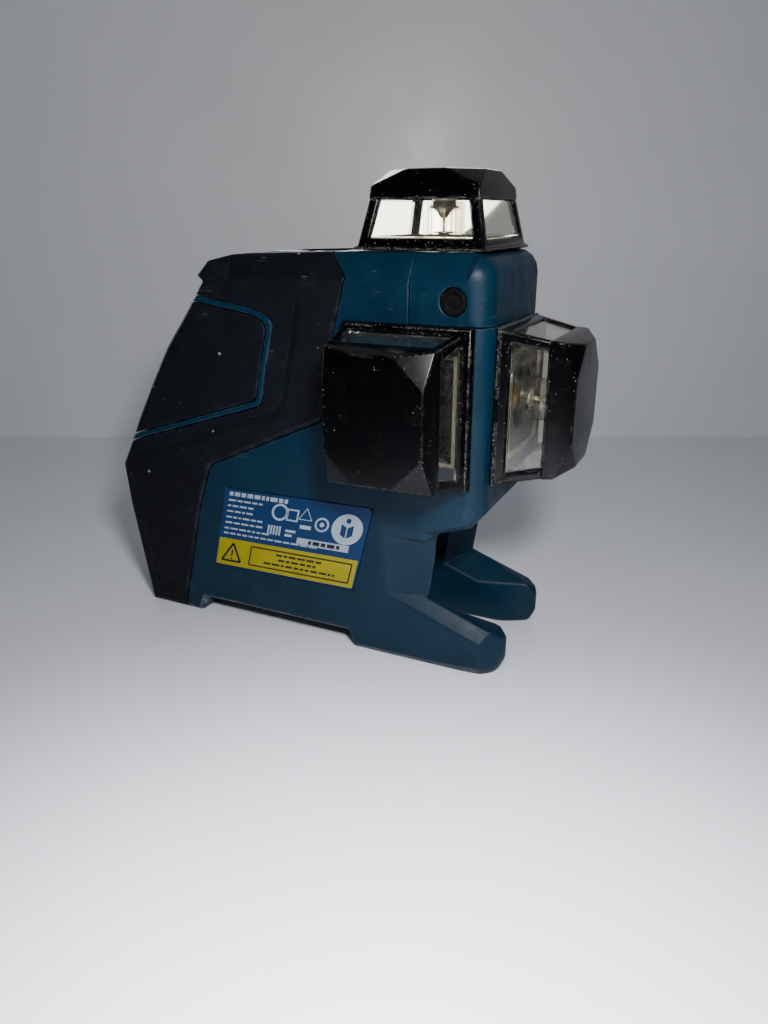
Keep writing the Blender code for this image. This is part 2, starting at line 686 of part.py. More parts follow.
def build_gimbal():
    rise = Vector((0, 0, 2.6))
    ring = tube("gimbal_ring", PIVOT - rise, PIVOT + rise, 15.2, 11.4, sides=32)
    along_x = Vector((20, 0, 0))
    along_y = Vector((0, 20, 0))
    cut(ring, rod("hole", PIVOT - along_x, PIVOT + along_x, PIN_HOLE, sides=16),
        rod("hole", PIVOT - along_y, PIVOT + along_y, PIN_HOLE, sides=16))
    finish(ring, ALLOY)
    for name, side in (("gimbal_pin_rear", -1), ("gimbal_pin_front", 1)):
        start = PIVOT + Vector((side * 7.6, 0, 0))
        finish(rod(name, start, PIVOT + Vector((side * 14.8, 0, 0)), PIN_R, sides=16), STEEL)


def build_pendulum():
    """Weighted body that hangs in the gimbal and carries the laser modules."""
    x, z = PIVOT.x, LEVEL_Z
    body = box("pendulum_body", (x - 9.5, -7.4, 66.0), (x + 8.2, 7.4, 92.0), bevel=0.6)
    for side in (-1, 1):
        join(body, box("hanger", (x + side * 8.7 - 1.4, -3.2, 90.0), (x + side * 8.7 + 1.4, 3.2, 107.0)))
    join(body, rod("stem", (x, 0, 58.0), (x, 0, 68.0), 4.5, sides=20))
    shoe = rod("shoe", (x, 0, SHOE_Z), (x, 0, 59.0), 7.5, sides=24)
    bm = bmesh.new()
    bmesh.ops.create_uvsphere(bm, u_segments=48, v_segments=48, radius=PIVOT.z - SHOE_Z)
    bmesh.ops.translate(bm, vec=PIVOT, verts=bm.verts)
    keep_inside(shoe, from_bmesh("ball", bm))
    join(body, shoe)
    cut(body, rod("bore", (x, 0, 84.0), (x, 0, 95.0), MODULE_R + GAP),
        rod("bore", (x, -10, z), (x, -6.8, z), MODULE_R + GAP),
        rod("bore", (x + 7.4, 0, z), (x + 12, 0, z), MODULE_R + GAP),
        rod("pin_hole", (x - 15, 0, PIVOT.z), (x + 15, 0, PIVOT.z), PIN_HOLE, sides=16))
    finish(body, ALLOY)
    magnet = rod("damping_magnet", (-34.9, 0, 68.5), (-32.5, 0, 68.5), 4.5, sides=20)
    finish(magnet, STEEL)

    beams = (
        ("top", Vector((x, 0, 0)), Vector((0, 0, 1)), 84.3, 118.6, 136.6),
        ("side", Vector((x, 0, z)), Vector((0, -1, 0)), 7.1, 28.0, 42.4),
        ("front", Vector((0, 0, z)), Vector((1, 0, 0)), x + 7.7, 0.6, 16.2),
    )
    for name, foot, along, start, glass, tip in beams:
        module = rod(f"laser_module_{name}", foot + along * start, foot + along * glass, MODULE_R)
        cut(module, rod("aperture", foot + along * (glass - 3), foot + along * (glass + 1), 4.0))
        finish(module, BRASS)
        sleeve = tube(f"laser_glass_{name}", foot + along * (glass + GAP), foot + along * (tip - 2.6),
                      GLASS_R, GLASS_R - 1.0)
        finish(sleeve, GLASS)
        mirror = rod(f"cone_mirror_{name}", foot + along * (tip - 2.3), foot + along * tip, GLASS_R)
        join(mirror, rod("cone", foot + along * (tip - 7.0), foot + along * (tip - 2.0), 0.2, 4.4))
        finish(mirror, STEEL)


def build_electronics():
    finish(box("circuit_board", (-46.8, -18.0, 63.0), (-45.2, 18.0, 112.0)), BOARD)
    across = Vector((0, 1, 0))
    at = Matrix((SLOPE, across, INWARD)).transposed().to_4x4()
    at.translation = SLOPE_POINT
    tray = box("battery_tray", (-27.6, -17.0, 4.4), (27.6, 17.0, 36.6))
    cut(tray, box("bay", (-26.2, -15.6, 2.0), (26.2, 15.6, 35.2)))
    finish(place(tray, at), GREY)
    spots = [(row, column) for row in (12.8, 27.7) for column in (-7.6, 7.6)]
    for number, (depth, across_y) in enumerate(spots, start=1):
        end = CELL_LENGTH / 2
        cell = rod(f"battery_cell_{number}", (-end, across_y, depth), (end - 1.2, across_y, depth), CELL_R)
        join(cell, rod("nub", (end - 2.0, across_y, depth), (end, across_y, depth), 2.6, sides=12))
        finish(place(cell, at), STEEL)


def main():
    outer, right, cap, left = build_housing()
    grip_right, grip_left = build_grips(outer)
    build_lid(outer)
    add_screw_posts(right, left, grip_left)
    build_label(right)
    build_side_plug(cap)
    build_controls(left)
    bpy.data.objects.remove(outer, do_unlink=True)
    for shell in (right, cap, left):
        finish(shell, TEAL)
    for grip in (grip_right, grip_left):
        finish(grip, GRIP)
    for name, head in HEADS.items():
        build_head(name, head["half"], head["flange"], head["at"])
    build_base()
    build_lock_lever()
    build_chassis()
    build_gimbal()
    build_pendulum()
    build_electronics()


main()
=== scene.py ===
"""Looks of a three-head self-levelling line laser: finishes, label print, mouldings, floor and light."""
import json
import math
import random

import bmesh
import bpy
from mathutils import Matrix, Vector

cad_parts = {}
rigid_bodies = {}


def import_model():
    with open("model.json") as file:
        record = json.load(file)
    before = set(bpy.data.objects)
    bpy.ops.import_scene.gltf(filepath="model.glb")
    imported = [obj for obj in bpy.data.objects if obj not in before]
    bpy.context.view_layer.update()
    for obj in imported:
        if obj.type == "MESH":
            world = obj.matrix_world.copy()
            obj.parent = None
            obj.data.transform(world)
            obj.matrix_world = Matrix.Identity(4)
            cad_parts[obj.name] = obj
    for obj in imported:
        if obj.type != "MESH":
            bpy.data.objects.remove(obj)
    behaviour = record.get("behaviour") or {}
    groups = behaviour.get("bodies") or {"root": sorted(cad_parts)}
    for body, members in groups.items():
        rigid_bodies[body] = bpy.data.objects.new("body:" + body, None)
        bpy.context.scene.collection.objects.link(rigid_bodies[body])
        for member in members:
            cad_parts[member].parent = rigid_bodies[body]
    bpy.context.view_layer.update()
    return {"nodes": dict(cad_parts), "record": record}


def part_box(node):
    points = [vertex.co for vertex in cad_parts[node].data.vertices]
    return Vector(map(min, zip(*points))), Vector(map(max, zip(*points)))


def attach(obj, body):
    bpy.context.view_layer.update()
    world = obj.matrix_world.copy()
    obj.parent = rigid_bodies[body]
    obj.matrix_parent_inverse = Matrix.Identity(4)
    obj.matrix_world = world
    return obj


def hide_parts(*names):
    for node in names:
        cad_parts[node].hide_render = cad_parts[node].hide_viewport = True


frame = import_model()
NODES = frame["nodes"]
MM = 0.001
PER_METRE = 1000.0                                        # mm in a metre
FRONT_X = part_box("housing_cap")[1].x                      # front face of the housing
JOINT_Y = (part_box("housing_right")[1].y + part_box("housing_left")[0].y) / 2


def at(x, y, z):
    """A point given in mm from the front face, the halves' joint plane and the floor, in the row frame."""
    return Vector((FRONT_X + x * MM, JOINT_Y + y * MM, z * MM))


# ---------------------------------------------------------------- material nodes
class Shader:
    """A material and short calls for its nodes. Lengths in its textures are in millimetres."""

    def __init__(self, name, **values):
        self.material = bpy.data.materials.new(name)
        self.material.use_nodes = True
        self.tree = self.material.node_tree
        self.surface = self.tree.nodes["Principled BSDF"]
        self.output = self.tree.nodes["Material Output"]
        place = self.tree.nodes.new("ShaderNodeTexCoord")
        scale = self.tree.nodes.new("ShaderNodeVectorMath")
        scale.operation = "SCALE"
        scale.inputs["Scale"].default_value = PER_METRE
        self.tree.links.new(place.outputs["Object"], scale.inputs[0])
        self.mm = scale.outputs[0]
        for key, value in values.items():
            self.put(key.replace("_", " ").title().replace("Ior", "IOR"), value)

    def put(self, socket, value):
        """Set or link an input of the main shader."""
        target = self.surface.inputs[socket]
        if isinstance(value, bpy.types.NodeSocket):
            self.tree.links.new(value, target)
        elif isinstance(value, tuple) and len(value) == 3:
            target.default_value = (*value, 1.0)
        else:
            target.default_value = value

    def feed(self, socket, value):
        """Set or link the input of any node."""
        if isinstance(value, bpy.types.NodeSocket):
            self.tree.links.new(value, socket)
        else:
            socket.default_value = value

    def math(self, operation, a, b=0.0, clamp=False):
        node = self.tree.nodes.new("ShaderNodeMath")
        node.operation = operation
        node.use_clamp = clamp
        self.feed(node.inputs[0], a)
        self.feed(node.inputs[1], b)
        return node.outputs[0]

    def stretch(self, x, y, z, turn=(0.0, 0.0, 0.0)):
        """Coordinates in mm, scaled along each axis and turned."""
        node = self.tree.nodes.new("ShaderNodeMapping")
        node.inputs["Scale"].default_value = (x, y, z)
        node.inputs["Rotation"].default_value = turn
        self.tree.links.new(self.mm, node.inputs["Vector"])
        return node.outputs[0]

    def noise(self, size, detail=2.0, roughness=0.5, vector=None, distortion=0.0):
        node = self.tree.nodes.new("ShaderNodeTexNoise")
        node.inputs["Scale"].default_value = 1.0 / size
        node.inputs["Detail"].default_value = detail
        node.inputs["Roughness"].default_value = roughness
        node.inputs["Distortion"].default_value = distortion
        self.tree.links.new(vector or self.mm, node.inputs["Vector"])
        return node.outputs[0]

    def cells(self, size):
        """Distance from the middle of the nearest cell, in cell sizes."""
        node = self.tree.nodes.new("ShaderNodeTexVoronoi")
        node.inputs["Scale"].default_value = 1.0 / size
        self.tree.links.new(self.mm, node.inputs["Vector"])
        return node.outputs["Distance"]

    def ramp(self, value, low, high, first=0.0, last=1.0):
        """A smooth step from first, at low, to last, at high."""
        node = self.tree.nodes.new("ShaderNodeMapRange")
        node.interpolation_type = "SMOOTHSTEP"
        self.feed(node.inputs["Value"], value)
        for key, number in (("From Min", low), ("From Max", high), ("To Min", first), ("To Max", last)):
            node.inputs[key].default_value = number
        return node.outputs[0]

    def blend(self, share, a, b):
        """Colour a with that share of colour b over it."""
        node = self.tree.nodes.new("ShaderNodeMix")
        node.data_type = "RGBA"
        self.feed(node.inputs[0], share)
        for socket, value in ((node.inputs[6], a), (node.inputs[7], b)):
            self.feed(socket, (*value, 1.0) if isinstance(value, tuple) else value)
        return node.outputs[2]

    def edges(self, radius, low=0.02, high=0.25):
        """Mask of the edges, from how far a rounded normal leans from the true one."""
        rounded = self.tree.nodes.new("ShaderNodeBevel")
        rounded.samples = 4
        rounded.inputs["Radius"].default_value = radius * MM
        true = self.tree.nodes.new("ShaderNodeNewGeometry")
        dot = self.tree.nodes.new("ShaderNodeVectorMath")
        dot.operation = "DOT_PRODUCT"
        self.tree.links.new(rounded.outputs[0], dot.inputs[0])
        self.tree.links.new(true.outputs["Normal"], dot.inputs[1])
        return self.ramp(self.math("SUBTRACT", 1.0, dot.outputs["Value"]), low, high)

    def specks(self, spacing, radius, share):
        """Small round dust specks, on a share of the cells."""
        dot = self.ramp(self.cells(spacing), radius / spacing * 1.4, radius / spacing * 0.7)
        return self.math("MULTIPLY", dot, self.ramp(self.noise(spacing * 3.1), 1.0 - share, 1.04 - share))

    def scratches(self, turn, length, width, patches, amount):
        """Fine straight scratches in patches."""
        lines = self.noise(1.0, 1.0, 0.3, self.stretch(1 / length, 1 / length, 1 / width, turn), 0.6)
        gaps = self.ramp(self.noise(1.3, 2.0), 0.42, 0.62)
        thin = self.math("MULTIPLY", self.ramp(lines, 0.68, 0.75), gaps)
        return self.math("MULTIPLY", thin, self.ramp(self.noise(patches, 2.0), 1.0 - amount, 1.12 - amount))

    def bump(self, height, distance, strength):
        """Raise the surface by the height, on top of the bumps it has; distance in mm."""
        node = self.tree.nodes.new("ShaderNodeBump")
        node.inputs["Strength"].default_value = strength
        node.inputs["Distance"].default_value = distance * MM
        self.feed(node.inputs["Height"], height)
        last = self.surface.inputs["Normal"]
        if last.is_linked:
            self.tree.links.new(last.links[0].from_socket, node.inputs["Normal"])
        self.tree.links.new(node.outputs[0], last)

    def mix(self, share, first, second):
        """Two shaders mixed, with that share of the second."""
        node = self.tree.nodes.new("ShaderNodeMixShader")
        for socket, value in zip(node.inputs, (share, first, second)):
            self.tree.links.new(value, socket)
        return node.outputs[0]

    def see_through(self, colour=(1.0, 1.0, 1.0)):
        node = self.tree.nodes.new("ShaderNodeBsdfTransparent")
        node.inputs["Color"].default_value = (*colour, 1.0)
        return node.outputs[0]

    def ray(self, kind):
        return self.tree.nodes.new("ShaderNodeLightPath").outputs[kind]

    def show(self, shader):
        self.tree.links.new(shader, self.output.inputs["Surface"])


def add_up(shader, *masks):
    """The masks added, up to 1."""
    total = masks[0]
    for mask in masks[1:]:
        total = shader.math("ADD", total, mask, clamp=True)
    return total


def teal_plastic():
    s = Shader("teal_plastic", specular_ior_level=0.20)
    tone = s.noise(14.0, 3.0, 0.6)
    colour = s.blend(s.ramp(tone, 0.3, 0.7), (0.0008, 0.0140, 0.0300), (0.0014, 0.0190, 0.0385))
    worn = s.math("MULTIPLY", s.edges(0.5, 0.004, 0.06), s.ramp(s.noise(4.0, 4.0, 0.75), 0.46, 0.62))
    scuff = add_up(s, s.scratches((0.3, 1.0, 0.4), 7.0, 0.12, 8.0, 0.44),
                   s.scratches((0.2, -0.45, 0.1), 9.0, 0.10, 6.0, 0.42), s.specks(6.0, 0.22, 0.42))
    colour = s.blend(s.math("MULTIPLY", worn, 0.5), colour, (0.09, 0.15, 0.17))
    colour = s.blend(s.math("MULTIPLY", scuff, 0.35), colour, (0.16, 0.20, 0.20))
    place = s.tree.nodes.new("ShaderNodeSeparateXYZ")      # painted highlight: lighter patches in the recess round the battery lid
    s.tree.links.new(s.mm, place.inputs[0])
    lid_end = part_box("battery_lid")[1].x * PER_METRE
    behind = s.ramp(place.outputs[0], lid_end + 6.0, lid_end + 1.0)
    aside = s.math("ABSOLUTE", s.math("SUBTRACT", place.outputs[1], JOINT_Y * PER_METRE))
    sunk = s.ramp(aside, SIDE_Y - 0.2, SIDE_Y - 0.4)
    groove_highlight = s.math("MULTIPLY", s.math("MULTIPLY", behind, sunk), s.ramp(s.noise(3.0, 5.0, 0.75), 0.44, 0.66))
    # painted highlight in the recess round the battery lid
    colour = s.blend(s.math("MULTIPLY", groove_highlight, 0.55), colour, (0.16, 0.22, 0.23))
    s.put("Base Color", colour)
    s.put("Roughness", s.ramp(s.noise(5.0, 4.0, 0.65), 0.25, 0.75, 0.36, 0.52))
    s.bump(s.noise(0.28, 3.0, 0.6), 0.05, 0.5)
    s.bump(scuff, 0.04, 0.6)
    return s.material


def soft_grip():
    s = Shader("soft_grip", specular_ior_level=0.20)
    tone = s.noise(9.0, 3.0, 0.6)
    colour = s.blend(s.ramp(tone, 0.3, 0.7), (0.0011, 0.0019, 0.0046), (0.0021, 0.0031, 0.0064))
    dust = add_up(s, s.specks(8.5, 0.42, 0.56), s.specks(3.2, 0.13, 0.44),
                  s.scratches((0.2, 0.45, 0.3), 8.0, 0.10, 9.0, 0.40))
    worn = s.math("MULTIPLY", s.edges(0.5, 0.005, 0.08), s.ramp(s.noise(4.0, 4.0, 0.75), 0.45, 0.62))
    colour = s.blend(s.math("MULTIPLY", worn, 0.35), colour, (0.10, 0.11, 0.12))
    colour = s.blend(s.math("MULTIPLY", dust, 0.8), colour, (0.30, 0.31, 0.32))
    s.put("Base Color", colour)
    s.put("Roughness", s.ramp(s.noise(3.0, 4.0, 0.7), 0.25, 0.75, 0.52, 0.72))
    s.bump(s.noise(0.22, 2.0, 0.6), 0.06, 0.6)
    return s.material


def gloss_black():
    s = Shader("gloss_black", specular_ior_level=0.15, coat_weight=0.03, coat_roughness=0.05)
    colour = (0.0006, 0.0007, 0.0011)
    chips = s.math("MULTIPLY", s.ramp(s.noise(0.7, 5.0, 0.8), 0.46, 0.56),
                   s.ramp(s.noise(5.0, 3.0), 0.40, 0.55))
    grime = s.math("MULTIPLY", s.edges(0.9, 0.01, 0.12), chips)
    near = s.edges(2.6, 0.001, 0.012)
    dust = add_up(s, s.specks(4.0, 0.16, 0.50), s.specks(1.4, 0.09, 0.46),
                  s.math("MULTIPLY", near, s.specks(1.1, 0.13, 0.62)))
    smear = s.ramp(s.noise(6.0, 4.0, 0.7), 0.45, 0.8)
    tint = s.blend(s.math("MULTIPLY", smear, 0.03), colour, (0.03, 0.03, 0.03))
    tint = s.blend(s.math("MULTIPLY", grime, 0.7), tint, (0.26, 0.25, 0.23))
    s.put("Base Color", s.blend(s.math("MULTIPLY", dust, 0.6), tint, (0.35, 0.34, 0.32)))
    s.put("Roughness", add_up(s, s.ramp(smear, 0.0, 1.0, 0.22, 0.34), s.math("MULTIPLY", grime, 0.45)))
    s.bump(s.noise(1.8, 3.0, 0.6), 0.02, 0.25)
    return s.material


def clear_glass(name, tint, lay):
    """Glass that lets the lamps through, under a film of dust; lay gives the length of its streaks along each
    axis in mm. Where lay stretches the film along one axis, its long streaks are painted highlights.
    """
    s = Shader(name, base_color=tint, roughness=0.03, transmission_weight=1.0, ior=1.46)
    # film marks: dust, and painted highlight streaks where lay is long along one axis
    streaks = s.noise(1.0, 4.0, 0.7, s.stretch(*(1 / a for a in lay)))
    film = add_up(s, s.ramp(streaks, 0.40, 0.85, 0.004, 0.07),
                  s.math("MULTIPLY", s.specks(1.6, 0.06, 0.45), 0.5),
                  s.math("MULTIPLY", s.scratches((0.2, 0.9, 0.0), 8.0, 0.08, 5.0, 0.5), 0.3))
    dust_and_highlight_film = s.tree.nodes.new("ShaderNodeBsdfDiffuse")
    dust_and_highlight_film.inputs["Color"].default_value = (0.42, 0.41, 0.37, 1.0)
    glass = s.mix(film, s.surface.outputs[0], dust_and_highlight_film.outputs[0])
    s.show(s.mix(s.ray("Is Shadow Ray"), glass, s.see_through((0.80, 0.79, 0.75))))
    return s.material


def moulded(name, dark, light, roughness, grain=0.25, gloss=0.45):
    """Moulded plastic between two tones; grain in mm."""
    s = Shader(name, specular_ior_level=gloss)
    colour = s.blend(s.ramp(s.noise(6.0, 3.0, 0.6), 0.3, 0.7), dark, light)
    pale = tuple(min(c * 2.5 + 0.12, 1.0) for c in light)
    worn = s.math("MULTIPLY", s.edges(0.4), s.ramp(s.noise(1.6, 3.0, 0.7), 0.46, 0.64))
    colour = s.blend(s.math("MULTIPLY", worn, 0.35), colour, pale)
    s.put("Base Color", s.blend(s.math("MULTIPLY", s.specks(4.0, 0.10, 0.42), 0.4), colour, (0.4, 0.4, 0.4)))
    s.put("Roughness", s.ramp(s.noise(3.0, 4.0, 0.7), 0.25, 0.75, roughness - 0.06, roughness + 0.08))
    s.bump(s.noise(grain, 2.0, 0.6), 0.04, 0.5)
    return s.material


def metal(name, dark, light, roughness, lay=(0.12, 0.12, 6.0)):
    """Machined or cast metal; lay gives the grain length along each axis in mm."""
    s = Shader(name, metallic=1.0)
    grain = s.noise(1.0, 3.0, 0.6, s.stretch(*(1 / a for a in lay)))
    s.put("Base Color", s.blend(s.ramp(grain, 0.3, 0.7), dark, light))
    s.put("Roughness", s.ramp(s.noise(2.0, 4.0, 0.7), 0.25, 0.75, roughness - 0.05, roughness + 0.12))
    s.bump(grain, 0.02, 0.4)
    return s.material


def printed(name, colour):
    """Print or film on the label plate."""
    s = Shader(name, specular_ior_level=0.25)
    darker = tuple(c * 0.86 for c in colour)
    tone = s.blend(s.ramp(s.noise(7.0, 3.0, 0.6), 0.3, 0.7), darker, colour)
    marks = add_up(s, s.specks(5.0, 0.14, 0.42), s.scratches((0.0, 0.3, 0.0), 10.0, 0.09, 8.0, 0.4))
    s.put("Base Color", s.blend(s.math("MULTIPLY", marks, 0.45), tone, (0.55, 0.55, 0.52)))
    s.put("Roughness", s.ramp(s.noise(4.0, 3.0, 0.6), 0.3, 0.7, 0.32, 0.46))
    s.bump(s.noise(0.5, 2.0, 0.5), 0.01, 0.4)
    return s.material


SIDE_Y = 24.5                                              # flat side of the housing from the joint plane
TEAL = teal_plastic()
GRIP = soft_grip()
BLACK = gloss_black()
GLASS = clear_glass("clear_window", (0.79, 0.78, 0.72), (2.2, 2.2, 2.2))
# its long upright film streaks are painted highlight streaks over dust
TUBE = clear_glass("glass_tube", (0.90, 0.88, 0.83), (0.5, 0.5, 9.0))
PANEL = moulded("dark_panel", (0.006, 0.007, 0.009), (0.009, 0.010, 0.013), 0.45)
GREY = moulded("grey_plastic", (0.07, 0.075, 0.08), (0.095, 0.10, 0.105), 0.48)
PLUG = moulded("plug_plastic", (0.0015, 0.0014, 0.0018), (0.0045, 0.004, 0.004), 0.6, gloss=0.12)
STEEL = metal("turned_steel", (0.42, 0.41, 0.40), (0.60, 0.59, 0.57), 0.25)
MIRROR = metal("polished_mirror", (0.80, 0.77, 0.70), (0.95, 0.92, 0.86), 0.34, (4.0, 4.0, 0.2))
BRASS = metal("turned_brass", (0.50, 0.36, 0.16), (0.68, 0.50, 0.24), 0.28, (6.0, 6.0, 0.2))
ALLOY = metal("cast_alloy", (0.34, 0.35, 0.36), (0.48, 0.49, 0.50), 0.45, (0.7, 0.7, 0.7))
COPPER = metal("rolled_copper", (0.55, 0.26, 0.15), (0.76, 0.40, 0.26), 0.3, (0.15, 8.0, 8.0))
BOARD = moulded("solder_mask", (0.010, 0.085, 0.035), (0.016, 0.115, 0.050), 0.35, 0.6)
CELL = metal("cell_sleeve", (0.30, 0.31, 0.33), (0.42, 0.43, 0.45), 0.35, (3.0, 3.0, 3.0))
BLUE = printed("label_blue", (0.001, 0.026, 0.092))
YELLOW = printed("label_yellow", (0.31, 0.265, 0.002))
WHITE_INK = printed("white_ink", (0.31, 0.37, 0.45))
BLACK_INK = printed("black_ink", (0.012, 0.011, 0.010))
# a pale floor for the top head alone, where the other heads have black floors: painted light inside the top
# head
PAINTED_LIGHT_SEAT = moulded("lens_seat", (0.16, 0.15, 0.13), (0.24, 0.22, 0.18), 0.5)
GASKET = moulded("gasket_foam", (0.085, 0.08, 0.062), (0.14, 0.13, 0.10), 0.7)

FINISHES = {
    "housing_teal": TEAL, "grip_rubber": GRIP, "head_black": BLACK, "window_glass": GLASS,
    "dark_plastic": PANEL, "grey_plastic": GREY, "steel": STEEL, "mirror_metal": MIRROR, "brass": BRASS,
    "cast_alloy": ALLOY, "copper": COPPER, "board_green": BOARD, "label_print": BLUE, "cell_can": CELL,
}


# ---------------------------------------------------------------- finish and rounding of the CAD nodes
CREASE_ANGLE = 34.0                                        # steeper edges get a rounding; angles in degrees
FACET_ANGLE = 6.0                                          # steeper creases between broad faces stay crisp
FACET_ROOM = 1.5                                           # least width of such a face in mm
BEVEL_ROOM = 2.2                                           # least width of a face beside a rounding 1 wide
FLAT_COSINE = 0.9997                                       # faces of one flat region lean less than this
WELD_GAP = 2e-6                                            # corners nearer than this, in metres, are one
KEY_STEPS = 1e6                                            # steps in a metre by which corners are told apart
ROUNDED = {"housing_cap": 33.5, "housing_right": 18.0, "housing_left": 18.0}   # steps of a rounding stay soft
EDGES = {"housing_right": 0.35, "housing_left": 0.35, "housing_cap": 0.3, "grip_right": 0.3, "grip_left": 0.3,
         "battery_lid": 0.35, "battery_latch": 0.25, "head_frame_top": 0.6, "head_frame_side": 0.6,
         "head_frame_front": 0.6, "base_plate": 0.2, "control_panel": 0.2, "chassis": 0.2,
         "pendulum_body": 0.2, "side_plug": 0.15}          # widths in mm; the other nodes keep their edges


def edge_key(ends):
    """A key that is the same for one edge in two copies of a mesh."""
    return frozenset(tuple(round(c * KEY_STEPS) for c in end) for end in ends)


def mark_edges(mesh, width, facet):
    """Mark creases between broad faces sharp, and weight the steep edges that have room for a rounding."""
    bm = bmesh.new()
    bm.from_mesh(mesh)
    bmesh.ops.remove_doubles(bm, verts=bm.verts, dist=WELD_GAP)
    bm.faces.ensure_lookup_table()
    region = {}
    areas = []
    for face in bm.faces:                                  # flat regions, by flood fill
        if face.index in region:
            continue
        region[face.index] = len(areas)
        total, queue = 0.0, [face]
        while queue:
            here = queue.pop()
            total += here.calc_area()
            for edge in here.edges:
                for other in edge.link_faces:
                    if other.index not in region and here.normal.dot(other.normal) > FLAT_COSINE:
                        region[other.index] = len(areas)
                        queue.append(other)
        areas.append(total)
    shared = {}
    for edge in bm.edges:
        if len(edge.link_faces) == 2:
            pair = tuple(sorted(region[f.index] for f in edge.link_faces))
            if pair[0] != pair[1]:
                shared.setdefault(pair, []).append(edge)
    creases, rounds = set(), set()
    for (a, b), edges in shared.items():
        room = min(areas[a], areas[b]) / sum(e.calc_length() for e in edges)
        for edge in edges:
            angle = math.degrees(edge.calc_face_angle(0.0))
            key = edge_key(v.co for v in edge.verts)
            if width and angle > CREASE_ANGLE and room > BEVEL_ROOM * width * MM:
                rounds.add(key)
            elif angle > facet and room > FACET_ROOM * MM or angle > CREASE_ANGLE and not width:
                creases.add(key)
    bm.free()
    weights = mesh.attributes.new("bevel_weight_edge", "FLOAT", "EDGE")
    for edge in mesh.edges:
        key = edge_key(mesh.vertices[v].co for v in edge.vertices)
        edge.use_edge_sharp = key in creases
        weights.data[edge.index].value = float(key in rounds)


def weigh_normals(obj, keep_sharp=False):
    smooth = obj.modifiers.new("normals", "WEIGHTED_NORMAL")
    smooth.weight = 100
    smooth.keep_sharp = keep_sharp


def dress(name, material, edge):
    """Give a CAD node its finish, and round its edges by modifiers; edge is the width in mm, 0 for none."""
    obj = NODES[name]
    mesh = obj.data
    if "custom_normal" in mesh.attributes:
        mesh.attributes.remove(mesh.attributes["custom_normal"])
    mesh.materials.clear()
    mesh.materials.append(material)
    mesh.shade_smooth()
    mark_edges(mesh, edge, ROUNDED.get(name, FACET_ANGLE))
    weld = obj.modifiers.new("weld", "WELD")
    weld.merge_threshold = WELD_GAP
    if edge:
        flat = obj.modifiers.new("flat", "DECIMATE")
        flat.decimate_type = "DISSOLVE"
        flat.angle_limit = math.radians(1.0)
        flat.delimit = {"SHARP"}
        split = obj.modifiers.new("split", "TRIANGULATE")  # or the bevel would close a hole in a broad face
        split.ngon_method = "BEAUTY"
        split.min_vertices = 5
        bevel = obj.modifiers.new("edges", "BEVEL")
        bevel.width = edge * MM
        bevel.segments = 2
        bevel.limit_method = "WEIGHT"
        bevel.use_clamp_overlap = False
        bevel.miter_outer = "MITER_ARC"
    weigh_normals(obj, keep_sharp=True)


slots = {row["node"]: row["material_slot"] for row in frame["record"]["subparts"]}
for name in NODES:
    dress(name, FINISHES[slots[name]], EDGES.get(name, 0.0))
NODES["side_plug"].data.materials[0] = PLUG
for tag in ("top", "front", "side"):
    NODES["laser_glass_" + tag].data.materials[0] = TUBE


# ---------------------------------------------------------------- small mouldings and print
def piece(name, bm, material, body, smooth=True):
    """A piece added to the visual model, which rides a body."""
    bmesh.ops.recalc_face_normals(bm, faces=bm.faces)
    mesh = bpy.data.meshes.new(name)
    bm.to_mesh(mesh)
    bm.free()
    mesh.materials.append(material)
    if smooth:
        mesh.shade_smooth()
    obj = bpy.data.objects.new(name, mesh)
    bpy.context.scene.collection.objects.link(obj)
    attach(obj, body)
    return obj


def loft(bm, rings, closed=False):
    """Join rings of points into one closed solid; closed joins the last ring to the first."""
    rows = [[bm.verts.new(p) for p in ring] for ring in rings]
    count = len(rows[0])
    pairs = list(zip(rows, rows[1:] + rows[:1])) if closed else list(zip(rows, rows[1:]))
    for low, high in pairs:
        for k in range(count):
            m = (k + 1) % count
            bm.faces.new((low[k], low[m], high[m], high[k]))
    if not closed:
        bm.faces.new(reversed(rows[0]))
        bm.faces.new(rows[-1])


# the raised field of the grip, which slopes down to the band round the battery lid: (foot, top) in side view
GRIP_FIELD = [
    ((-58.0, 112.6), (-55.9, 104.0)), ((-43.0, 112.9), (-45.2, 104.5)), ((-46.2, 99.8), (-46.5, 99.8)),
    ((-50.9, 74.4), (-51.2, 74.8)), ((-90.3, 56.4), (-90.2, 57.0)), ((-91.9, 55.2), (-92.1, 55.6)),
    ((-93.1, 53.2), (-93.5, 53.4)), ((-97.9, 40.4), (-98.2, 40.4)), ((-107.3, 3.6), (-107.6, 3.9)),
    ((-119.8, 3.4), (-118.6, 4.4)), ((-122.6, 21.4), (-120.2, 21.4)), ((-125.0, 36.0), (-122.4, 36.0)),
    ((-126.0, 48.6), (-123.0, 47.6)), ((-122.6, 54.2), (-120.4, 51.4)), ((-112.2, 58.2), (-111.4, 55.6)),
    ((-79.2, 71.8), (-78.2, 69.4)), ((-68.5, 74.2), (-66.8, 71.6)), ((-64.2, 78.9), (-61.7, 78.0)),
    ((-62.3, 88.6), (-59.7, 88.2)), ((-59.1, 99.7), (-56.6, 99.5)), ((-57.9, 109.6), (-56.0, 103.0)),
]
FIELD_ROOT, FIELD_FOOT, FIELD_RISE = -0.1, 0.02, 0.45      # its bottom, foot and top from the flat side
FIELD_ROUND = 0.16
